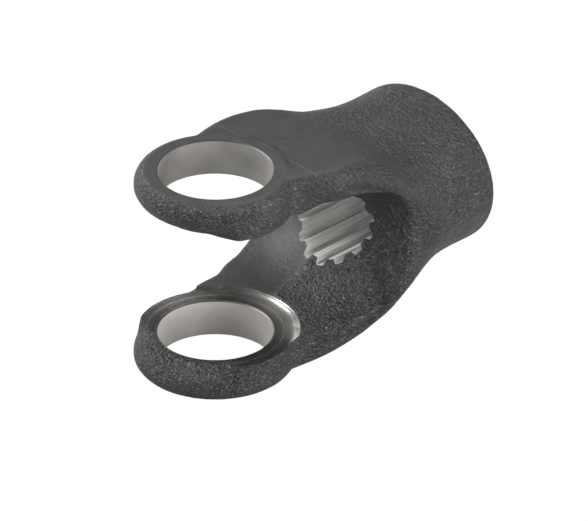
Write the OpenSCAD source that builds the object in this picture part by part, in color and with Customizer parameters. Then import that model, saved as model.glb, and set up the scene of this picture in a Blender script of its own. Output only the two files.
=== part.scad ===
// Forged driveline yoke: two bored ears on a blended fork, an oval hub and a splined bore.
// Millimetres. Z runs along the cross bore, X runs along the hub away from the ears.
// The origin is the point where the cross bore axis meets the hub axis.

/* [Cross bore] */
// Diameter of the plain bore through both ears
cross_bore_d = 38; // [30:0.5:41]
// Chamfer on every rim of the cross bore
cross_bore_chamfer = 0.5; // [0.2:0.1:1]

/* [Ears] */
// Distance between the two machined inner faces
fork_gap = 48; // [46:0.5:52]
// Distance over the two outer faces
fork_spread = 74; // [70:0.5:80]
// Outer radius of each ear seen along the cross bore
ear_r = 27; // [25.5:0.25:30]
// Rounding of the ear edge on its outer side
ear_outer_edge_r = 5.1; // [3.5:0.1:6]
// Rounding of the ear edge on the side toward the fork gap
ear_inner_edge_r = 5.5; // [4:0.1:6.5]
// Radius of the curve that ends the inner boss toward the ear tip
boss_curve_r = 56; // [48:1:70]
// Distance from the cross bore axis to the boss end on the centre line
boss_reach = 16.8; // [16:0.2:20]
// Width of the blend between the boss and the lower forged face
boss_blend = 1.2; // [0.4:0.1:3]

/* [Inner facing] */
// Radius of the flat part of the machined inner facing
facing_r = 25.2; // [24:0.1:27]
// Fillet radius where the facing cutter runs out into the arm
facing_fillet = 5.3; // [3:0.1:7]

/* [Arms] */
// Distance between the forged inner faces of the arms
arm_gap = 45.8; // [42:0.1:47]
// Slope of the outer arm face between ear and shoulder
arm_slope = 0.135; // [0.05:0.005:0.2]
// Slope of the outer arm face behind the shoulder
shoulder_slope = 0.395; // [0.3:0.005:0.7]
// Distance along X where the arm turns down toward the hub
shoulder_x = 46.5; // [40:0.5:50]
// Length over which the two arm slopes blend
shoulder_blend = 1; // [0.5:0.1:5]
// Corner radius of the arm section at the ears
arm_corner_r = 5.2; // [3:0.1:8]

/* [Flanks] */
// Widest half width of the fork, at the flank
flank_half_w = 36.5; // [34:0.1:40]
// Distance along X of the widest place
flank_x = 57; // [50:0.5:60]
// Slope of the flank seen along Z, on both sides of the widest place
flank_slope = 0.305; // [0.2:0.005:0.4]
// Depth of the dished round-over where the saddle meets each flank
dish_depth = 8.4; // [4:0.2:10]
// Height above and below the hub axis where that round-over runs out on the arms
dish_reach_arm = 22; // [19:0.5:25]
// Height above and below the hub axis where that round-over runs out on the hub
dish_reach_hub = 18; // [15:0.5:21]
// Distance along X where that round-over runs out
dish_end_x = 76; // [72:0.5:80]
// Depth of the side pocket that narrows the inner side of both arms
pocket_depth = 3.3; // [1:0.1:5]
// Height above and below the hub axis of the side pocket's rim on the arms
pocket_h = 28.5; // [26:0.5:32]
// Distance along X of the end of the side pocket
pocket_end_x = 54; // [50:0.5:60]
// Width of the slope inside the pocket's rim
pocket_slope_w = 6; // [2:0.5:9]

/* [Saddle] */
// Distance along X of the saddle's deepest line on the hub axis
saddle_x = 53.4; // [50:0.2:56]
// Radius of the saddle's crown seen along Z
saddle_crown_r = 55.4; // [45:0.2:80]

/* [Hub] */
// Width of the oval hub along Y
hub_w = 63; // [58:0.2:68]
// Height of the oval hub along Z
hub_h = 53; // [50:0.1:58]
// Distance along X of the flat hub end
hub_end_x = 99; // [90:0.5:110]
// Rounding of the hub end edge
hub_edge_r = 2; // [1:0.1:4]

/* [Splined bore] */
// Number of spline grooves
spline_teeth = 16; // [12:1:20]
// Diameter over the groove bottoms
spline_root_d = 35; // [33:0.1:36]
// Diameter over the tooth tips
spline_tip_d = 31.6; // [30:0.1:32.5]
// Turn of the groove nearest the lower ear, in degrees
spline_turn = 3.2; // [0:0.1:10]
// Lead-in chamfer at the hub end
spline_chamfer = 1.2; // [0.5:0.1:2]

/* [Hidden] */
$fn = 96;
seam_turn = 20.5;
forged_fn = 72;
spool_fn = 120;
inner_z = fork_gap / 2;
outer_z = fork_spread / 2;
plate_mid_z = outer_z - ear_outer_edge_r;
plate_inner_z = plate_mid_z - ear_inner_edge_r;
pocket_mid_x = pocket_end_x - pocket_h;
arm_inner_z = arm_gap / 2;
crown_axis_x = saddle_x + saddle_crown_r;
boss_axis_x = boss_curve_r - boss_reach;
arm_start_x = 10;
arm_top_start = outer_z - 0.3;
round_start_x = 20;
round_end_x = 86;
loft_step = 3;
flank_rays = 7;
corner_rays = 4;
top_rays = 4;
hub_plain_x = hub_end_x - hub_edge_r;
spline_root_r = spline_root_d / 2;
spline_tip_r = spline_tip_d / 2;
spline_pitch = 360 / spline_teeth;

// Smooth smaller and smooth larger of two values, k is the width of the blend
function smin(a, b, k) = (a + b - sqrt((a - b) * (a - b) + k * k)) / 2;
function smax(a, b, k) = (a + b + sqrt((a - b) * (a - b) + k * k)) / 2;
function clamp01(t) = max(0, min(1, t));
function ease(t) = clamp01(t) * clamp01(t) * (3 - 2 * clamp01(t));
function mix(a, b, t) = a + (b - a) * t;

// Half height of the outer skin along X
function arm_line(x) = outer_z - arm_slope * (x - 12);
function fall_line(x) = arm_line(shoulder_x) - shoulder_slope * (x - shoulder_x);
function raw_half_h(x) = smax(smin(arm_line(x), fall_line(x), shoulder_blend), hub_h / 2, 1);
function half_h(x) = min(arm_top_start, raw_half_h(x));

// Half width of the outer skin along X
function rise_line(x) = flank_half_w + 0.6 + flank_slope * (x - flank_x);
function drop_line(x) = flank_half_w + 0.6 - flank_slope * (x - flank_x);
function raw_half_w(x) = smin(rise_line(x), drop_line(x), 1.2);
function half_w(x) = x < flank_x ? raw_half_w(x) : smax(raw_half_w(x), hub_w / 2, 1);

// How round the section is: 0 is a rounded rectangle, 1 is an ellipse
function roundness(x) = ease((x - round_start_x) / (round_end_x - round_start_x));

// Point of a rounded rectangle on the ray at angle p in the first quadrant
function ray_len(w, h, ry, rz, p) =
    let (c = cos(p), s = sin(p), a = w - ry, b = h - rz)
    let (qa = c * c / (ry * ry) + s * s / (rz * rz))
    let (qb = a * c / (ry * ry) + b * s / (rz * rz))
    let (qc = a * a / (ry * ry) + b * b / (rz * rz) - 1)
    w * s <= b * c ? w / c : h * c <= a * s ? h / s : (qb + sqrt(max(0, qb * qb - qa * qc))) / qa;

// Ray angles of one quadrant: over the flank, round the corner, then over the top
function ray_angle(w, h, ry, rz, m, u) =
    let (p1 = mix(atan2(h - rz, w), 42, m), p2 = mix(atan2(h, w - ry), 66, m))
    let (a = u / flank_rays, b = (u - flank_rays) / corner_rays)
    let (c = (u - flank_rays - corner_rays) / top_rays)
    a < 1 ? p1 * a : b < 1 ? mix(p1, p2, b) : mix(p2, 90, c);

// Dished round-over of the flank between the arms
function dish_grow(x) = min(1, pow(max(0, (dish_end_x - x) / (dish_end_x - 60)), 2.2));
function dish_reach(x) = mix(dish_reach_arm, dish_reach_hub, ease((x - flank_x) / 6));
function dish_share(z) = pow(max(0, 1 - z * z), 1.5);
function dish(x, z) =
    dish_depth * dish_grow(x) * ease((x - 20) / 12) * dish_share(z / dish_reach(x));

// Side pocket whose rim is a rounded U round the saddle, rim_share is 1 on the rim
function rim_share(x, z) =
    pow(pow(max(0, x - pocket_mid_x) / pocket_h, 4) + pow(abs(z) / pocket_h, 4), 0.25);
function pocket(x, z) =
    pocket_depth * ease((x - 14) / 12) * ease((1 - rim_share(x, z)) * pocket_h / pocket_slope_w);

// One quadrant of a section as [y, z] pairs, inset makes the rounded hub edge
function quadrant(x, inset) =
    let (w = half_w(x) - inset, h = half_h(x) - inset, m = roundness(x))
    let (ry = mix(arm_corner_r, w, m), rz = mix(arm_corner_r, h, m))
    [for (u = [0:flank_rays + corner_rays + top_rays - 1])
        let (p = ray_angle(w, h, ry, rz, m, u), t = ray_len(w, h, ry, rz, p))
        [t * cos(p), t * sin(p)]];

// The other quadrants are turned from the first one by mirror images
function ring_flat(x, inset) =
    let (q = quadrant(x, inset), h = half_h(x) - inset, n = len(q))
    concat(
        q,
        [[0, h]],
        [for (i = [n - 1:-1:1]) [-q[i][0], q[i][1]]],
        [[-q[0][0], 0]],
        [for (i = [1:n - 1]) [-q[i][0], -q[i][1]]],
        [[0, -h]],
        [for (i = [n - 1:-1:1]) [q[i][0], -q[i][1]]]);
function dished(p, x) = [p[0] - sign(p[0]) * (dish(x, p[1]) + pocket(x, p[1])), p[1]];
function ring(x, inset) = [for (p = ring_flat(x, inset)) let (d = dished(p, x)) [x, d[0], d[1]]];

// Stations along X: even steps, then the rounded edge of the hub end
plain_stations = [for (x = [arm_start_x:loft_step:round_end_x]) [x, 0]];
edge_stations = [for (a = [0:15:90])
    [hub_plain_x + hub_edge_r * sin(a), hub_edge_r * (1 - cos(a))]];
stations = concat(plain_stations, edge_stations);
rings = [for (s = stations) ring(s[0], s[1])];
ring_n = len(rings[0]);
skin_points = [for (r = rings) for (p = r) p];
skin_sides = [for (i = [0:len(stations) - 2]) for (j = [0:ring_n - 1])
    let (k = (j + 1) % ring_n, a = i * ring_n, b = a + ring_n)
    each [[a + j, b + k, a + k], [a + j, b + j, b + k]]];
skin_front = [[for (j = [0:ring_n - 1]) j]];
skin_back = [[for (j = [ring_n - 1:-1:0]) (len(stations) - 1) * ring_n + j]];

// Forged skin of the arms, shoulders, flanks and hub as one filled body
module skin() {
    polyhedron(points = skin_points, faces = concat(skin_sides, skin_front, skin_back));
}

// Forged ear plate with a fully rounded edge
module ear_plate() {
    ro = ear_outer_edge_r;
    ri = ear_inner_edge_r;
    rotate_extrude($fn = forged_fn)
        polygon(concat(
            [[0, plate_inner_z], [ear_r - ri, plate_inner_z]],
            [for (a = [-75:15:0]) [ear_r - ri + ri * cos(a), plate_mid_z + ri * sin(a)]],
            [for (a = [15:15:75]) [ear_r - ro + ro * cos(a), plate_mid_z + ro * sin(a)]],
            [[ear_r - ro, outer_z], [0, outer_z]]));
}

// Inner boss of one ear, ended by a curve toward the tip
module ear_boss() {
    intersection() {
        translate([0, 0, arm_inner_z - 2])
            cylinder(r1 = ear_r - 1.3, r2 = ear_r - 0.1, h = plate_mid_z - arm_inner_z + 3,
                $fn = forged_fn);
        translate([boss_axis_x, 0, 0])
            rotate_extrude($fn = forged_fn)
                polygon([
                    [0, arm_inner_z - 3],
                    [boss_curve_r, arm_inner_z - 3],
                    [boss_curve_r, inner_z],
                    [boss_curve_r + boss_blend, plate_inner_z + 0.3],
                    [boss_curve_r + boss_blend, plate_mid_z + 2],
                    [0, plate_mid_z + 2]]);
    }
}

module ears() {
    for (s = [0, 1]) {
        mirror([0, 0, s]) {
            ear_plate();
            ear_boss();
        }
    }
}

// Waisted body that is left standing between the arms and forms the saddle
module saddle_spool() {
    translate([crown_axis_x, 0, 0])
        rotate_extrude($fn = spool_fn)
            polygon(concat(
                [[0, -arm_inner_z - 1], [saddle_crown_r + 1.3 * arm_inner_z, -arm_inner_z - 1]],
                [for (a = [-84:7:84])
                    [saddle_crown_r + arm_inner_z * (1 - cos(a)), arm_inner_z * sin(a)]],
                [[saddle_crown_r + 1.3 * arm_inner_z, arm_inner_z + 1], [0, arm_inner_z + 1]]));
}

// Everything that the fork opening takes away
module fork_opening() {
    difference() {
        translate([-ear_r - 10, -flank_half_w - 10, -arm_inner_z])
            cube([crown_axis_x + ear_r + 5, 2 * flank_half_w + 20, arm_gap]);
        saddle_spool();
    }
}

// Inner facings of both ears, with the cutter's rounded run-out
module facing_cut() {
    rotate([0, 0, seam_turn])
        rotate_extrude()
            polygon(concat(
                [[0, -inner_z], [facing_r, -inner_z]],
                [for (a = [-80:10:-10])
                    [facing_r + facing_fillet * cos(a), -inner_z + facing_fillet * (1 + sin(a))]],
                [[facing_r + facing_fillet, -inner_z + facing_fillet]],
                [[facing_r + facing_fillet, inner_z - facing_fillet]],
                [for (a = [10:10:80])
                    [facing_r + facing_fillet * cos(a), inner_z - facing_fillet * (1 - sin(a))]],
                [[facing_r, inner_z], [0, inner_z]]));
}

// Plain bore through both ears with a chamfer on all four rims
module cross_bore_cut() {
    r = cross_bore_d / 2;
    w = r + cross_bore_chamfer + 1;
    c = cross_bore_chamfer;
    rotate([0, 0, seam_turn])
        rotate_extrude()
            polygon([
                [0, -outer_z - 1],
                [w, -outer_z - 1],
                [r, -outer_z + c],
                [r, -inner_z - c],
                [w, -inner_z + 1],
                [w, inner_z - 1],
                [r, inner_z + c],
                [r, outer_z - c],
                [w, outer_z + 1],
                [0, outer_z + 1]]);
}

// Radius of the spline outline at angle t from a groove centre
function groove_share(t) = ease((0.33 * spline_pitch - abs(t)) / (0.16 * spline_pitch));
function spline_r(t) = mix(spline_tip_r, spline_root_r, groove_share(t));
spline_points = [for (i = [0:spline_teeth - 1]) for (j = [-6:5])
    let (t = j * spline_pitch / 12, r = spline_r(t), a = i * spline_pitch + t)
    [r * cos(a), r * sin(a)]];

// Splined bore along X, broken through into the saddle
module spline_cut() {
    rotate([spline_turn, 0, 0])
        translate([arm_start_x, 0, 0])
            rotate([0, 90, 0])
                linear_extrude(height = hub_end_x - arm_start_x + 1)
                    polygon(spline_points);
    translate([hub_end_x - spline_chamfer - 0.9, 0, 0])
        rotate([0, 90, 0])
            cylinder(r1 = spline_tip_r - 1, r2 = spline_root_r + 0.9, h = spline_chamfer + 1);
}

// Forging as it leaves the die: skin and ears with the fork opening between them
module forging() {
    resize([0, 0, fork_spread])
        difference() {
            union() {
                skin();
                ears();
            }
            fork_opening();
        }
}

// Forging with its machined facings, cross bore and splined bore
module yoke() {
    color("#5e5c59")
        difference() {
            forging();
            facing_cut();
            cross_bore_cut();
            spline_cut();
        }
}

yoke();
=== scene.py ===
"""Look of the forged yoke: shot-blasted forging skin, machined bores and facings, broached spline."""

import math
from functools import partial

import bmesh
import bpy
from mathutils import Matrix, Vector, noise


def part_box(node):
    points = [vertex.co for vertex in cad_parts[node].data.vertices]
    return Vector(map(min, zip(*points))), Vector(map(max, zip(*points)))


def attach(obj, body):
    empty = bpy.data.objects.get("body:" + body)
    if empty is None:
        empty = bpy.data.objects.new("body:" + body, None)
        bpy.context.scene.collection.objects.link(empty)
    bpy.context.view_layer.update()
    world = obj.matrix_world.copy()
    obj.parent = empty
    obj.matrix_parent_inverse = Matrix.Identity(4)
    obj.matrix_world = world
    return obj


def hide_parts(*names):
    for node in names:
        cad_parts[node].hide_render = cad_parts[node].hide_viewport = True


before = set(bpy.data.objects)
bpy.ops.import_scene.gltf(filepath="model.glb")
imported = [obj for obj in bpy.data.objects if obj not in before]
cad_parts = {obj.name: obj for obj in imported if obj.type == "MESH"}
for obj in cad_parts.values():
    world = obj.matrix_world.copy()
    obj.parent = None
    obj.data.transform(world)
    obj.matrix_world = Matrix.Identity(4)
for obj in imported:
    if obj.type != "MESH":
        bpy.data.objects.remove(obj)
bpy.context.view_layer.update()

NODE = "yoke"

# Sizes in metres, in the row frame: Z along the cross bore, X along the hub
MM = 0.001
BOX_LOW, BOX_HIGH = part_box(NODE)
HUB_END_X = BOX_HIGH.x
OUTER_Z = BOX_HIGH.z
EAR_R = -BOX_LOW.x
BORE_R = 19 * MM
BORE_CHAMFER = 0.5 * MM
FACING_Z = 24 * MM
FACING_R = 25.2 * MM
FACING_FILLET = 5.3 * MM
EAR_FACE_END_X = 10.4 * MM
ARM_INNER_Z = 22.9 * MM
BOSS_CURVE_R = 56 * MM
BOSS_REACH = 16.8 * MM
BOSS_R = EAR_R - 1 * MM
SADDLE_X = 53.4 * MM
CROWN_R = 55.4 * MM
HUB_HALF_W = 31.5 * MM
HUB_HALF_H = 26.5 * MM

# The splined bore, with the wall of a groove in shares of a pitch from the groove's middle
SPLINE_TEETH = 16
SPLINE_ROOT_R = 17.5 * MM
SPLINE_TIP_R = 15.8 * MM
SPLINE_TURN = math.radians(14.45)
SPLINE_WALL_END = 0.33
SPLINE_WALL_WIDTH = 0.16
SPLINE_POINTS = 16

# The cone that cuts the spline's lead-in, as (radius, x) at its inner and its outer end
LEAD_IN_INNER = (SPLINE_TIP_R - 1 * MM, HUB_END_X - 2.1 * MM)
LEAD_IN_OUTER = (SPLINE_ROOT_R + 0.9 * MM, HUB_END_X + 0.1 * MM)

# Steps in a full turn of the round shapes, and in the arcs
CUTTER_STEPS = 144
SADDLE_STEPS = 120
LEAD_IN_STEPS = 96
BOSS_STEPS = 96
PLUG_STEPS = 72
SPLINE_PLUG_STEPS = 60
EAR_FACE_STEPS = 60
WAIST_STEPS = 28
FILLET_STEPS = 20

# Spun shapes, by a share of a step, and plugs start off the X axis, so no edge is on a plane of symmetry
SPUN_START = 0.37
PLUG_START = math.radians(2)

# The spool that shapes the saddle: half the angle of its waist in degrees, and the radius of its rims
WAIST_HALF_ANGLE = 84
SPOOL_R = CROWN_R + 1.3 * ARM_INNER_Z

# Stock and plugs that the cuts take off again, and how far a cutter reaches past the metal
PAST = 1 * MM
END_CUT = 10 * MM
END_STOCK = 0.4 * MM
END_STOCK_DEPTH = 2 * MM
END_STOCK_INSET = 2.2 * MM
FACING_STOCK_LOW = ARM_INNER_Z - 0.3 * MM
FACING_STOCK_HIGH = FACING_Z + 2 * MM
BORE_PLUG_R = BORE_R + 0.8 * MM
SPLINE_PLUG_R = SPLINE_ROOT_R + 0.7 * MM
SPLINE_PLUG_X = 20 * MM
SPLINE_CUT_X = 10 * MM
ROUGH_BORE_R = BORE_R - 0.1 * MM

# How the forging skin is built
VOXEL = 0.8 * MM
SKIN_SMOOTHING = 10
UNEVEN_DEPTH = 0.08 * MM
UNEVEN_SPACING = 7 * MM
MERGE = 0.0001 * MM
MERGE_AFTER_CUTS = 0.002 * MM
SHARP_TURN = math.radians(28)

# The fold along the U-shaped rim of the side pocket, how it fades in along X and Y, and the width and
# share of the painted shade in it
RIM_MID_X = 28 * MM
RIM_REACH = 26.8 * MM
RIM_HALF_H = 27.5 * MM
RIM_POWER = 2.6
RIM_SIDE_Y = 19 * MM
RIM_FADE_X = 8 * MM
RIM_FADE_Y = 3 * MM
FOLD_DEPTH = 0.4 * MM
FOLD_W = 1.2 * MM
FOLD_SHADE_W = 1.3 * FOLD_W
FOLD_SHADE_SHARE = 0.65

# Where the skin is smooth: level faces of the arms' outside, and the far half of the saddle
LEVEL_FADE = (0.86, 0.97)
OUTSIDE_Z_FADE = (26 * MM, 31 * MM)
SADDLE_Z_FADE = (23.3 * MM, 24.3 * MM)
SADDLE_NEAR_FADE = (0.5 * MM, 4 * MM)
SADDLE_FAR_FADE = (26 * MM, 31 * MM)
SADDLE_X_FADE = (58 * MM, 64 * MM)
SMOOTH_SHARE = 0.85

# The skin's patterns, at the sizes that the photo shows, because single grit marks are finer than a pixel
PATCH_SIZE = 14 * MM
MOTTLE_SIZE = 5 * MM
WAVE_SIZE = 2.6 * MM
STROKE_SIZE = 1.6 * MM
PEBBLE_SIZE = 1.3 * MM
PEBBLE_SOFTNESS = 0.35
STROKE_FLATTENING = (1, 1, 1.7)
STROKE_SWIRL = 1.8

# The part of each pattern's range that counts, and the least that any patch is pebbly
PATCH_RANGE = (0.35, 0.6)
LEAST_PEBBLY = 0.65
MOTTLE_RANGE = (0.3, 0.7)
STROKE_RANGE = (0.2, 0.8)
GLOSS_RANGE = (0.3, 0.7)

# What each pattern gives the skin's relief, its tone from dark to light, and its gloss. The strokes' tone
# follows their relief, so it paints highlights on their tops and shade between them
SKIN_RELIEF = 1.4 * MM
PEBBLE_HEIGHT = -0.45
WAVE_HEIGHT = 0.5
STROKE_HEIGHT = 0.9
MOTTLE_TONE = 0.2
STROKE_PAINTED_LIGHT_TONE = 0.72
SMOOTH_TONE = 0.41
SKIN_METALLIC = 0.5
SKIN_ROUGHNESS = (0.52, 0.43)
SMOOTH_ROUGHER = 0.15

# The faint crease across each arm's outer face, and the painted highlight along it
CREASE_X = 23.3 * MM
CREASE_W = 0.35 * MM
CREASE_DEPTH = 0.12 * MM
CREASE_HIGHLIGHT_FADE = (0.1 * MM, 0.6 * MM)
CREASE_HIGHLIGHT_SHARE = 0.4

# The skin's colours, with a painted highlight for the crease and painted shade for the fold
FORGED_DARK = "#1b1b1b"
FORGED_LIGHT = "#464645"
CREASE_PAINTED_HIGHLIGHT = "#5c5b59"
FOLD_PAINTED_SHADE = "#0c0c0c"

# Machined steel: cutting lines are finer than a pixel, so they are drawn as coarse as they need to show
CUT_LINES = 0.7 * MM
LINE_RANGE = (0.3, 0.7)
LINE_ROUGHNESS = 0.05
CLOUD_SIZE = 12 * MM
CLOUD_RANGE = (0.35, 0.65)
CLOUD_TONE = 0.3
# Painted shade that darkens turned steel upward along the cross bore, from where it starts to where it is
# full
PAINTED_SHADE_Z_RANGE = (-20 * MM, 30 * MM)
PAINTED_UPWARD_SHADE = 0.7
RADIAL_SPREAD = 0.75

# The broached spline's walls, with their scratches drawn coarse enough to show
BROACHED_LIGHT = "#c8c7c5"
BROACHED_DARK = "#a09f9d"
BROACHED_METALLIC = 0.1
BROACHED_ROUGHNESS = (0.42, 0.56)
SCRATCHES = 0.4 * MM
SCRATCH_STRETCH = (0.03, 1, 1)
SCRATCH_RANGE = (0.3, 0.7)
SCRATCH_RELIEF = 0.14 * MM

# How far the facing looks hollowed toward the arm, as the cutter leaves it
FACING_HOLLOW = 1.3 * MM
HOLLOW_R_FADE = (18.5 * MM, 27 * MM)
HOLLOW_X_FADE = (11 * MM, 20 * MM)
HOLLOW_POWER = 2

# The floor: its reach, its gap below the lower ear, and the shares of glow that camera and gloss see
FLOOR_REACH = 3.0
FLOOR_GAP = 0.05 * MM
FLOOR_DEPTH = 10 * MM
FLOOR_COLOUR = "#a8a8a8"
FLOOR_GLOW = "#ffffff"
FLOOR_GLOW_STRENGTH = 1.08
GLOW_SEEN = 0.93
GLOW_MIRRORED = 0.12

# The lights' distance and what they look at
LIGHT_DISTANCE = 0.8
LIGHT_AIM = Vector((30 * MM, 0, 0))

# The side on which the sky is bright, and its strength off that side and on it
SKY_BRIGHT_SIDE = (-0.707, 0.707, 0)
SKY_STRENGTH = (0.05, 1.45)
SKY_COLOUR = "#f6f6f6"

# The photo's view: parallel projection, 588 pixels over this width
VIEW_WIDTH = 0.19262
VIEW_AZIMUTH = math.radians(45)
VIEW_ELEVATION = math.radians(30.4)
VIEW_RIGHT_OF_ORIGIN = 25.83 * MM
VIEW_ABOVE_ORIGIN = 2.08 * MM
CAMERA_DISTANCE = 1.0


# A Mix node's colour sockets by place, because their names repeat there
MIX_SHARE, MIX_FIRST, MIX_SECOND, MIX_RESULT = 0, 6, 7, 2


def place(mesh, name):
    """Puts a mesh in the scene, as an object at the origin."""
    obj = bpy.data.objects.new(name, mesh)
    bpy.context.scene.collection.objects.link(obj)
    return obj


def solid(bm, name, material=None):
    """Object from a closed bmesh, with its doubles merged and its faces pointing out."""
    bmesh.ops.remove_doubles(bm, verts=bm.verts, dist=MERGE)
    bmesh.ops.recalc_face_normals(bm, faces=bm.faces)
    mesh = bpy.data.meshes.new(name)
    bm.to_mesh(mesh)
    bm.free()
    if material:
        mesh.materials.append(material)
    return place(mesh, name)


def spun(name, profile, steps, centre_x=0, material=None):
    """Body spun about a line along Z, from (radius, z) pairs that start and end on the line."""
    bm = bmesh.new()
    points = [bm.verts.new((centre_x + r, 0, z)) for r, z in profile]
    edges = [bm.edges.new(pair) for pair in zip(points, points[1:])]
    centre = (centre_x, 0, 0)
    start = Matrix.Rotation(2 * math.pi * SPUN_START / steps, 3, "Z")
    bmesh.ops.rotate(bm, verts=points, cent=centre, matrix=start)
    bmesh.ops.spin(bm, geom=points + edges, cent=centre, axis=(0, 0, 1), angle=2 * math.pi,
                   steps=steps, use_merge=True)
    return solid(bm, name, material)


def prism(name, outline, low, high, material=None):
    """Upright prism over an outline of (x, y) points, from low to high."""
    bm = bmesh.new()
    base = bm.faces.new([bm.verts.new((x, y, low)) for x, y in outline])
    raised = bmesh.ops.extrude_face_region(bm, geom=[base])["geom"]
    corners = [part for part in raised if isinstance(part, bmesh.types.BMVert)]
    bmesh.ops.translate(bm, verts=corners, vec=(0, 0, high - low))
    return solid(bm, name, material)


def plug(name, half_x, half_y, low, high, steps):
    """Upright round or oval plug about Z, from low to high."""
    bm = bmesh.new()
    lift = Matrix.Translation((0, 0, (low + high) / 2))
    shape = lift @ Matrix.Diagonal((half_x, half_y, 1, 1)) @ Matrix.Rotation(PLUG_START, 4, "Z")
    bmesh.ops.create_cone(bm, cap_ends=True, segments=steps, radius1=1, radius2=1, depth=high - low,
                          matrix=shape)
    return solid(bm, name)


def slab(name, low, high, material):
    """Box between its lowest and its highest corner."""
    bm = bmesh.new()
    bmesh.ops.create_cube(bm, size=1)
    bmesh.ops.scale(bm, verts=bm.verts, vec=high - low)
    bmesh.ops.translate(bm, verts=bm.verts, vec=(low + high) / 2)
    return solid(bm, name, material)


def along_hub(obj):
    """Lays an upright object along X, with what was its top at the hub end."""
    obj.data.transform(Matrix.Rotation(math.radians(90), 4, "Y"))
    return obj


def apply_modifiers(obj):
    """Turns what the modifiers make into the object's own mesh."""
    depsgraph = bpy.context.evaluated_depsgraph_get()
    made = bpy.data.meshes.new_from_object(obj.evaluated_get(depsgraph))
    obj.modifiers.clear()
    obj.data = made


def boolean(obj, tool, operation):
    """Combines obj with tool, whose material comes along, and removes tool."""
    cut = obj.modifiers.new(operation.lower(), "BOOLEAN")
    cut.operation = operation
    cut.solver = "EXACT"
    cut.material_mode = "TRANSFER"
    cut.object = tool
    apply_modifiers(obj)
    bpy.data.objects.remove(tool)


def linear(code):
    """Linear colour of an sRGB code such as "#5e5c59"."""
    parts = [int(code[i:i + 2], 16) / 255 for i in (1, 3, 5)]
    return [c / 12.92 if c <= 0.04045 else ((c + 0.055) / 1.055) ** 2.4 for c in parts] + [1]


def add_node(tree, kind, inputs=(), **settings):
    """Adds a node with its settings, fills or links inputs by place or name, and returns its outputs."""
    node = tree.nodes.new("ShaderNode" + kind)
    for key, value in settings.items():
        setattr(node, key, value)
    for key, value in inputs.items() if isinstance(inputs, dict) else enumerate(inputs):
        if isinstance(value, bpy.types.NodeSocket):
            tree.links.new(value, node.inputs[key])
        else:
            node.inputs[key].default_value = value
    return node.outputs


def new_finish(name):
    """Empty material, and the function that adds a node to it."""
    finish = bpy.data.materials.new(name)
    finish.use_nodes = True
    finish.node_tree.nodes.clear()
    return finish, partial(add_node, finish.node_tree)


def rim_painted_shade(add, x, y, off_middle):
    """Share of the painted shade that lies in the fold along the side pocket's rim, as rim_fold has it."""
    along = add("MapRange", [x, RIM_MID_X, RIM_MID_X + 2 * RIM_REACH, 0, 2])[0]
    upward = add("Math", [off_middle, RIM_HALF_H], operation="DIVIDE")[0]
    powers = [add("Math", [part, RIM_POWER], operation="POWER")[0] for part in (along, upward)]
    both = add("Math", powers, operation="ADD")[0]
    share = add("Math", [both, 1 / RIM_POWER], operation="POWER")[0]
    past = add("Math", [share, 1], operation="SUBTRACT")[0]
    away = add("Math", [past], operation="ABSOLUTE")[0]
    # Painted shade: darkest on the fold's line, fading out over its width
    line = add("MapRange", [away, 0, FOLD_SHADE_W / RIM_HALF_H, 1, 0])[0]
    sideways = add("Math", [y], operation="ABSOLUTE")[0]
    line = add("MapRange", [sideways, RIM_SIDE_Y, RIM_SIDE_Y + RIM_FADE_Y, 0, line])[0]
    return add("MapRange", [x, RIM_MID_X, RIM_MID_X + RIM_FADE_X, 0, line])[0]


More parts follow.
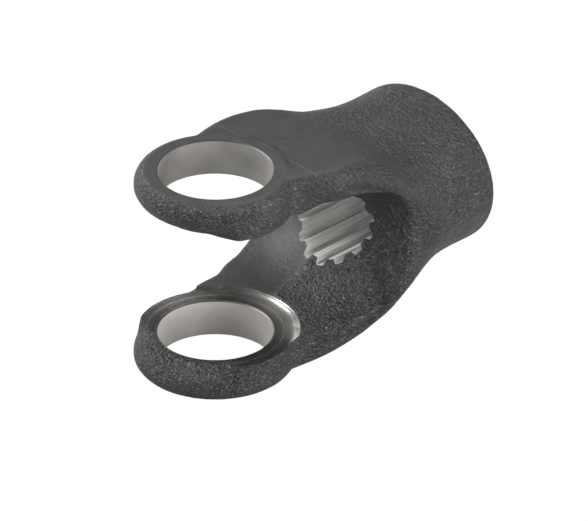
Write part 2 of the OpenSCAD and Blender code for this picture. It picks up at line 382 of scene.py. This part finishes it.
def forged_steel():
    """Shot-blasted forging skin: dark and half glossy, with soft pebbles that each catch the light."""
    steel, add = new_finish("shot_blasted_forged_steel")
    coords = add("TexCoord")["Object"]
    x, y, z = add("SeparateXYZ", [coords])
    off_middle = add("Math", [z], operation="ABSOLUTE")[0]
    upward = add("SeparateXYZ", [add("NewGeometry")["Normal"]])["Z"]
    level = add("Math", [upward], operation="ABSOLUTE")[0]

    # Smooth places, and how pebbly the rest is from patch to patch
    flat = add("MapRange", [level, *LEVEL_FADE])[0]
    flat = add("MapRange", [off_middle, *OUTSIDE_Z_FADE, 0, flat])[0]
    saddle = add("MapRange", [y, *SADDLE_NEAR_FADE])[0]
    saddle = add("MapRange", [y, *SADDLE_FAR_FADE, saddle, 0])[0]
    saddle = add("MapRange", [x, *SADDLE_X_FADE, saddle, 0])[0]
    saddle = add("MapRange", [off_middle, *SADDLE_Z_FADE, saddle, 0])[0]
    smooth = add("Math", [flat, saddle], operation="MAXIMUM")[0]
    smooth = add("Math", [smooth, SMOOTH_SHARE], operation="MULTIPLY")[0]
    patch = add("TexNoise", {"Vector": coords, "Scale": 1 / PATCH_SIZE})[0]
    patch = add("MapRange", [patch, *PATCH_RANGE, LEAST_PEBBLY, 1])[0]
    pebbly = add("Math", [patch, smooth], operation="SUBTRACT", use_clamp=True)[0]

    # Relief: rounded pebbles, drawn-out strokes and slower waves, then the crease of the arms
    pebble = add("TexVoronoi", {"Vector": coords, "Scale": 1 / PEBBLE_SIZE, "Smoothness": PEBBLE_SOFTNESS},
                 feature="SMOOTH_F1")[0]
    flattened = add("Mapping", {"Vector": coords, "Scale": STROKE_FLATTENING})[0]
    stroke = add("TexNoise", {"Vector": flattened, "Scale": 1 / STROKE_SIZE, "Detail": 1,
                              "Distortion": STROKE_SWIRL})[0]
    wave = add("TexNoise", {"Vector": coords, "Scale": 1 / WAVE_SIZE})[0]
    height = 0
    for pattern, share in ((pebble, PEBBLE_HEIGHT), (wave, WAVE_HEIGHT), (stroke, STROKE_HEIGHT)):
        height = add("Math", [pattern, share, height], operation="MULTIPLY_ADD")[0]
    height = add("Math", [height, pebbly], operation="MULTIPLY")[0]
    relief = add("Bump", {"Height": height, "Distance": SKIN_RELIEF})[0]
    crease = add("MapRange", [x, CREASE_X, CREASE_X + CREASE_W, 0, flat])[0]
    relief = add("Bump", {"Height": crease, "Distance": CREASE_DEPTH, "Normal": relief})[0]

    # Colour: mottled scale, painted highlights on the raised strokes and painted shade between them where
    # it is pebbly, and an even tone where it is smooth
    mottle = add("TexNoise", {"Vector": coords, "Scale": 1 / MOTTLE_SIZE, "Detail": 3,
                              "Roughness": 0.6})[0]
    mottled = add("MapRange", [mottle, *MOTTLE_RANGE, 0, MOTTLE_TONE])[0]
    stroke_painted_light = add("MapRange", [stroke, *STROKE_RANGE, 0, STROKE_PAINTED_LIGHT_TONE])[0]
    even = add("MapRange", [pebbly, 0, 1, SMOOTH_TONE, 0])[0]
    tone = add("Math", [stroke_painted_light, pebbly, mottled], operation="MULTIPLY_ADD")[0]
    tone = add("Math", [tone, even], operation="ADD", use_clamp=True)[0]
    colours = {MIX_FIRST: linear(FORGED_DARK), MIX_SECOND: linear(FORGED_LIGHT)}
    colour = add("Mix", {MIX_SHARE: tone, **colours}, data_type="RGBA")[MIX_RESULT]

    # A painted highlight along the crease, and painted shade in the fold
    past_crease = add("Math", [x, CREASE_X], operation="SUBTRACT")[0]
    off_crease = add("Math", [past_crease], operation="ABSOLUTE")[0]
    crease_highlight = add("MapRange", [off_crease, *CREASE_HIGHLIGHT_FADE, flat, 0])[0]
    fold_shade = rim_painted_shade(add, x, y, off_middle)
    lines = ((crease_highlight, CREASE_HIGHLIGHT_SHARE, CREASE_PAINTED_HIGHLIGHT), (fold_shade, FOLD_SHADE_SHARE, FOLD_PAINTED_SHADE))
    for line, share, code in lines:
        shown = add("Math", [line, share], operation="MULTIPLY")[0]
        colours = {MIX_FIRST: colour, MIX_SECOND: linear(code)}
        colour = add("Mix", {MIX_SHARE: shown, **colours}, data_type="RGBA")[MIX_RESULT]

    gloss = add("MapRange", [stroke, *GLOSS_RANGE, *SKIN_ROUGHNESS])[0]
    rough = add("Math", [smooth, SMOOTH_ROUGHER, gloss], operation="MULTIPLY_ADD")[0]
    surface = add("BsdfPrincipled", {"Base Color": colour, "Metallic": SKIN_METALLIC, "Roughness": rough,
                                     "Normal": relief})[0]
    add("OutputMaterial", [surface])
    return steel


def turned_steel(name, light, dark, metallic, roughness, line_depth, facing=False):
    """Bored or faced steel: bright, with fine lines round the bore that fan out a facing's highlights, and
    painted shade that darkens it upward.
    """
    steel, add = new_finish(name)
    coords = add("TexCoord")["Object"]
    x, y, z = add("SeparateXYZ", [coords])
    outward = add("CombineXYZ", [x, y])[0]
    radius = add("VectorMath", [outward], operation="LENGTH")["Value"]
    rings = add("CombineXYZ", [radius, z])[0]
    line = add("TexNoise", {"Vector": rings, "Scale": 1 / CUT_LINES, "Detail": 1})[0]
    cloud = add("TexNoise", {"Vector": coords, "Scale": 1 / CLOUD_SIZE})[0]
    cloud = add("MapRange", [cloud, *CLOUD_RANGE, 0, CLOUD_TONE])[0]
    # Painted shade: the steel is painted darker upward, so the upper bore and facing are darker than the
    # lower ones
    high = add("MapRange", [z, *PAINTED_SHADE_Z_RANGE, 0, PAINTED_UPWARD_SHADE])[0]
    tone = add("Math", [cloud, high], operation="ADD")[0]
    rough = (roughness - LINE_ROUGHNESS, roughness + LINE_ROUGHNESS)
    colours = {MIX_FIRST: linear(light), MIX_SECOND: linear(dark)}
    surface = {
        "Base Color": add("Mix", {MIX_SHARE: tone, **colours}, data_type="RGBA")[MIX_RESULT],
        "Metallic": metallic,
        "Roughness": add("MapRange", [line, *LINE_RANGE, *rough])[0],
        "Normal": add("Bump", {"Height": line, "Distance": line_depth})[0],
    }
    if facing:
        hollow = add("MapRange", [radius, *HOLLOW_R_FADE])[0]
        hollow = add("Math", [hollow, HOLLOW_POWER], operation="POWER")[0]
        hollow = add("MapRange", [x, *HOLLOW_X_FADE, 0, hollow])[0]
        surface["Normal"] = add("Bump", {"Height": hollow, "Distance": FACING_HOLLOW,
                                         "Normal": surface["Normal"]})[0]
        surface["Anisotropic"] = RADIAL_SPREAD
        surface["Tangent"] = outward
    add("OutputMaterial", [add("BsdfPrincipled", surface)[0]])
    return steel


def broached_steel():
    """Broached spline walls: pale and dull, with fine scratches along the hub."""
    steel, add = new_finish("broached_spline_steel")
    stretched = add("Mapping", {"Vector": add("TexCoord")["Object"], "Scale": SCRATCH_STRETCH})[0]
    scratch = add("TexNoise", {"Vector": stretched, "Scale": 1 / SCRATCHES, "Roughness": 0.6})[0]
    tone = add("MapRange", [scratch, *SCRATCH_RANGE])[0]
    colours = {MIX_FIRST: linear(BROACHED_LIGHT), MIX_SECOND: linear(BROACHED_DARK)}
    surface = add("BsdfPrincipled", {
        "Base Color": add("Mix", {MIX_SHARE: tone, **colours}, data_type="RGBA")[MIX_RESULT],
        "Metallic": BROACHED_METALLIC,
        "Roughness": add("MapRange", [tone, 0, 1, *BROACHED_ROUGHNESS])[0],
        "Normal": add("Bump", {"Height": scratch, "Distance": SCRATCH_RELIEF})[0],
    })[0]
    add("OutputMaterial", [surface])
    return steel


def floor_paint():
    """Matt pale paint that the camera sees as nearly even white, so that the yoke stands clear of it."""
    paint, add = new_finish("pale_floor")
    matt = add("BsdfDiffuse", {"Color": linear(FLOOR_COLOUR)})[0]
    glow = add("Emission", {"Color": linear(FLOOR_GLOW), "Strength": FLOOR_GLOW_STRENGTH})[0]
    path = add("LightPath")
    mirrored = add("Math", [path["Is Glossy Ray"], GLOW_MIRRORED], operation="MULTIPLY")[0]
    share = add("Math", [path["Is Camera Ray"], GLOW_SEEN, mirrored], operation="MULTIPLY_ADD",
                use_clamp=True)[0]
    add("OutputMaterial", [add("MixShader", [share, matt, glow])[0]])
    return paint


FORGED = forged_steel()
BORED = turned_steel("fine_bored_steel", "#b5b2ae", "#7b7976", metallic=0.6, roughness=0.5,
                     line_depth=0.015 * MM)
DULL = turned_steel("dull_chamfer_steel", "#5a5957", "#52514f", metallic=1, roughness=0.5,
                    line_depth=0.02 * MM)
FACED = turned_steel("turned_facing_steel", "#92908d", "#878582", metallic=1, roughness=0.25,
                     line_depth=0.006 * MM, facing=True)
BROACHED = broached_steel()


def arc(radius, mid_x, mid_y, start, end, steps):
    """Points on an arc about a middle, from start to end in degrees."""
    turns = [math.radians(start + (end - start) * k / steps) for k in range(steps + 1)]
    return [(mid_x + radius * math.cos(t), mid_y + radius * math.sin(t)) for t in turns]


def saddle_spool():
    """Waisted body whose side is the saddle between the arms."""
    reach = ARM_INNER_Z + PAST
    waist = arc(ARM_INNER_Z, CROWN_R + ARM_INNER_Z, 0, 180 + WAIST_HALF_ANGLE, 180 - WAIST_HALF_ANGLE,
                WAIST_STEPS)
    profile = [(0, -reach), (SPOOL_R, -reach), *waist, (SPOOL_R, reach), (0, reach)]
    return spun("saddle_spool", profile, SADDLE_STEPS, SADDLE_X + CROWN_R)


def spline_plug():
    """Fills the splined bore up to the saddle."""
    filled = along_hub(plug("spline_plug", SPLINE_PLUG_R, SPLINE_PLUG_R, SPLINE_PLUG_X,
                            HUB_END_X + END_STOCK, SPLINE_PLUG_STEPS))
    boolean(filled, saddle_spool(), "INTERSECT")
    return filled


def bore_plugs():
    """Fills the cross bore in both ears, flush with the outer faces."""
    low = FACING_Z - PAST
    return [plug("bore_plug", BORE_PLUG_R, BORE_PLUG_R, *sorted((side * low, side * OUTER_Z)), PLUG_STEPS)
            for side in (1, -1)]


def facing_stock():
    """Extra metal under both facings, so that the facing cut leaves a crisp edge."""
    axis_x = BOSS_CURVE_R - BOSS_REACH
    turn = 180 / BOSS_STEPS
    ring = arc(BOSS_R, 0, 0, turn, 360 - turn, BOSS_STEPS - 1)
    outline = [(max(x, axis_x - math.sqrt(BOSS_CURVE_R ** 2 - y ** 2)), y) for x, y in ring]
    return [prism("facing_stock", outline, *sorted((side * FACING_STOCK_LOW, side * FACING_STOCK_HIGH)))
            for side in (1, -1)]


def end_stock():
    """Extra metal on the hub end, so that its cut is crisp inside the rounded edge."""
    return along_hub(plug("end_stock", HUB_HALF_H - END_STOCK_INSET, HUB_HALF_W - END_STOCK_INSET,
                          HUB_END_X - END_STOCK_DEPTH, HUB_END_X + END_STOCK, PLUG_STEPS))


def uneven(point):
    """Slow unevenness of a forged surface, from about -1 to 1, half of it again at 0.4 of the spacing."""
    return noise.noise(point / UNEVEN_SPACING) + 0.5 * noise.noise(point / (0.4 * UNEVEN_SPACING))


def rim_fold(point):
    """Depth of the fold that runs along the side pocket's rim."""
    across = (max(0, point.x - RIM_MID_X) / RIM_REACH) ** RIM_POWER
    share = (across + (abs(point.z) / RIM_HALF_H) ** RIM_POWER) ** (1 / RIM_POWER)
    away = (share - 1) * RIM_HALF_H / FOLD_W
    side = min(1, max(0, (abs(point.y) - RIM_SIDE_Y) / RIM_FADE_Y))
    start = min(1, max(0, (point.x - RIM_MID_X) / RIM_FADE_X))
    return FOLD_DEPTH * side * start * math.exp(-away * away)


def filled_model():
    """The CAD solid with its bores filled and with stock where it is cut again."""
    bm = bmesh.new()
    bm.from_mesh(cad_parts[NODE].data)
    bmesh.ops.remove_doubles(bm, verts=bm.verts, dist=MERGE)
    for extra in [spline_plug(), *bore_plugs(), *facing_stock(), end_stock()]:
        bm.from_mesh(extra.data)
        bpy.data.objects.remove(extra)
    mesh = bpy.data.meshes.new("forged_yoke")
    bm.to_mesh(mesh)
    bm.free()
    return place(mesh, "forged_yoke")


def forged_blank():
    """The forging before machining: edges eased, surface slightly uneven."""
    blank = filled_model()
    remesh = blank.modifiers.new("remesh", "REMESH")
    remesh.mode = "VOXEL"
    remesh.voxel_size = VOXEL
    smooth = blank.modifiers.new("smooth", "SMOOTH")
    smooth.factor = 0.5
    smooth.iterations = SKIN_SMOOTHING
    apply_modifiers(blank)
    blank.data.materials.clear()
    blank.data.materials.append(FORGED)
    bm = bmesh.new()
    bm.from_mesh(blank.data)
    bm.normal_update()
    for v in bm.verts:
        v.co += v.normal * (UNEVEN_DEPTH * (uneven(v.co) - 1) - rim_fold(v.co))
    bm.to_mesh(blank.data)
    bm.free()
    return blank


def rim_cutter():
    """Rim chamfers of the cross bore, with the bore itself left a little small."""
    c = BORE_CHAMFER
    wide = BORE_R + c + PAST
    half = [(wide, FACING_Z - PAST), (ROUGH_BORE_R, FACING_Z + c),
            (ROUGH_BORE_R, OUTER_Z - c), (wide, OUTER_Z + PAST)]
    lower = [(r, -z) for r, z in reversed(half)]
    profile = [(0, lower[0][1]), *lower, *half, (0, half[-1][1])]
    return spun("rim_cutter", profile, CUTTER_STEPS, material=DULL)


def bore_cutter():
    """Plain cross bore through both ears."""
    end = OUTER_Z + PAST
    profile = [(0, -end), (BORE_R, -end), (BORE_R, end), (0, end)]
    return spun("bore_cutter", profile, CUTTER_STEPS, material=BORED)


def facing_cutter():
    """Machined facings on the inside of both ears, with the cutter's rounded run-out into the arms."""
    upper = arc(FACING_FILLET, FACING_R, FACING_Z - FACING_FILLET, 0, 90, FILLET_STEPS)
    lower = [(r, -z) for r, z in reversed(upper)]
    profile = [(0, -FACING_Z), *lower, *upper, (0, FACING_Z)]
    return spun("facing_cutter", profile, CUTTER_STEPS, material=FACED)


def ear_face_cutter():
    """Flat facing that runs out over the ear's edge on the side of the tip."""
    reach = EAR_R + PAST
    turn = math.degrees(math.acos(EAR_FACE_END_X / reach))
    outline = arc(reach, 0, 0, turn, 360 - turn, EAR_FACE_STEPS)
    return prism("ear_face_cutter", outline, -FACING_Z, FACING_Z, FACED)


def spline_outline():
    """Outline of the splined bore, with eased corners."""
    pitch = 2 * math.pi / SPLINE_TEETH
    outline = []
    for k in range(SPLINE_TEETH * SPLINE_POINTS):
        groove, step = divmod(k, SPLINE_POINTS)
        off_groove = step / SPLINE_POINTS - 0.5
        share = min(1, max(0, (SPLINE_WALL_END - abs(off_groove)) / SPLINE_WALL_WIDTH))
        eased = share * share * (3 - 2 * share)
        r = SPLINE_TIP_R + (SPLINE_ROOT_R - SPLINE_TIP_R) * eased
        a = (groove + off_groove) * pitch
        outline.append((r * math.cos(a), r * math.sin(a)))
    return outline


def spline_cutter():
    """Splined bore along X."""
    cutter = prism("spline_cutter", spline_outline(), SPLINE_CUT_X, HUB_END_X + 2 * PAST, BROACHED)
    along_hub(cutter).data.transform(Matrix.Rotation(SPLINE_TURN, 4, "X"))
    return cutter


def lead_in_cutter():
    """Lead-in chamfer of the splined bore at the hub end."""
    profile = [(0, LEAD_IN_INNER[1]), LEAD_IN_INNER, LEAD_IN_OUTER, (0, LEAD_IN_OUTER[1])]
    return along_hub(spun("lead_in_cutter", profile, LEAD_IN_STEPS, material=FACED))


def end_cutter():
    """Takes the hub end flat."""
    reach = HUB_HALF_W + END_CUT
    return slab("end_cutter", Vector((HUB_END_X, -reach, -reach)),
                Vector((HUB_END_X + END_CUT, reach, reach)), FACED)


def shade(obj):
    """Smooth faces, with sharp edges where the material changes or the surface turns quickly."""
    bm = bmesh.new()
    bm.from_mesh(obj.data)
    bmesh.ops.remove_doubles(bm, verts=bm.verts, dist=MERGE_AFTER_CUTS)

    # A vertex that only splits an edge is taken out, because its faces would get slivers as triangles
    splits = [v for v in bm.verts if len(v.link_edges) == 2]
    bmesh.ops.dissolve_verts(bm, verts=splits)
    for f in bm.faces:
        f.smooth = True
    for e in bm.edges:
        two = len(e.link_faces) == 2
        changes = two and e.link_faces[0].material_index != e.link_faces[1].material_index
        e.smooth = not (changes or (two and e.calc_face_angle(0) > SHARP_TURN))
    bm.to_mesh(obj.data)
    bm.free()


def build_yoke():
    """The forging with its machined faces cut from it."""
    yoke = forged_blank()
    for cutter in (end_cutter(), spline_cutter(), lead_in_cutter(), facing_cutter(),
                   ear_face_cutter(), rim_cutter(), bore_cutter()):
        boolean(yoke, cutter, "DIFFERENCE")
    shade(yoke)
    return yoke


def build_stage():
    """Pale floor under the lower ear, wide enough to fill the view."""
    top = BOX_LOW.z - FLOOR_GAP
    floor = slab("floor", Vector((-FLOOR_REACH, -FLOOR_REACH, top - FLOOR_DEPTH)),
                 Vector((FLOOR_REACH, FLOOR_REACH, top)), floor_paint())


def build_light(name, azimuth, elevation, size, power):
    """Soft square light that looks at the yoke, with azimuth in degrees from -Y toward +X."""
    data = bpy.data.lights.new(name, "AREA")
    data.size = size
    data.energy = power
    light = bpy.data.objects.new(name, data)
    bpy.context.scene.collection.objects.link(light)
    a, e = math.radians(azimuth), math.radians(elevation)
    back = Vector((math.sin(a) * math.cos(e), -math.cos(a) * math.cos(e), math.sin(e)))
    light.location = LIGHT_AIM + back * LIGHT_DISTANCE
    light.rotation_euler = (-back).to_track_quat("-Z", "Y").to_euler()


def build_sky():
    """Plain pale sky that fades from its brightest side to nearly dark."""
    sky = bpy.data.worlds.new("studio")
    sky.use_nodes = True
    sky.node_tree.nodes.clear()
    add = partial(add_node, sky.node_tree)
    way = add("TexCoord")["Generated"]
    facing = add("VectorMath", [way, SKY_BRIGHT_SIDE], operation="DOT_PRODUCT")["Value"]
    strength = add("MapRange", [facing, 0, 1, *SKY_STRENGTH])[0]
    add("OutputWorld", [add("Background", [linear(SKY_COLOUR), strength])[0]])
    bpy.context.scene.world = sky


def build_lights():
    """Plain soft studio light, strongest from the front right and the back left."""
    build_light("back_left", azimuth=205, elevation=32, size=0.45, power=8.5)
    build_light("front_right", azimuth=20, elevation=14, size=0.5, power=11.5)
    build_light("front_left", azimuth=320, elevation=14, size=0.4, power=3)
    build_light("back_right", azimuth=108, elevation=57, size=0.34, power=4)
    build_light("back", azimuth=158, elevation=15, size=0.3, power=0.4)
    build_sky()


def build_camera():
    """Parallel camera at the photo's angle and framing."""
    data = bpy.data.cameras.new("camera")
    data.type = "ORTHO"
    data.ortho_scale = VIEW_WIDTH
    camera = bpy.data.objects.new("camera", data)
    bpy.context.scene.collection.objects.link(camera)
    a, e = VIEW_AZIMUTH, VIEW_ELEVATION
    right = Vector((math.cos(a), -math.sin(a), 0))
    ahead = Vector((math.sin(a) * math.cos(e), math.cos(a) * math.cos(e), -math.sin(e)))
    up = right.cross(ahead)
    centre = right * VIEW_RIGHT_OF_ORIGIN + up * VIEW_ABOVE_ORIGIN
    turn = Matrix((right, up, -ahead)).transposed().to_4x4()
    camera.matrix_world = Matrix.Translation(centre - ahead * CAMERA_DISTANCE) @ turn
    data.clip_start = 0.05
    data.clip_end = 10
    bpy.context.scene.camera = camera


bpy.context.scene.view_settings.view_transform = "Standard"
yoke = build_yoke()
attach(yoke, "root")
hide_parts(NODE)
build_stage()
build_lights()
build_camera()
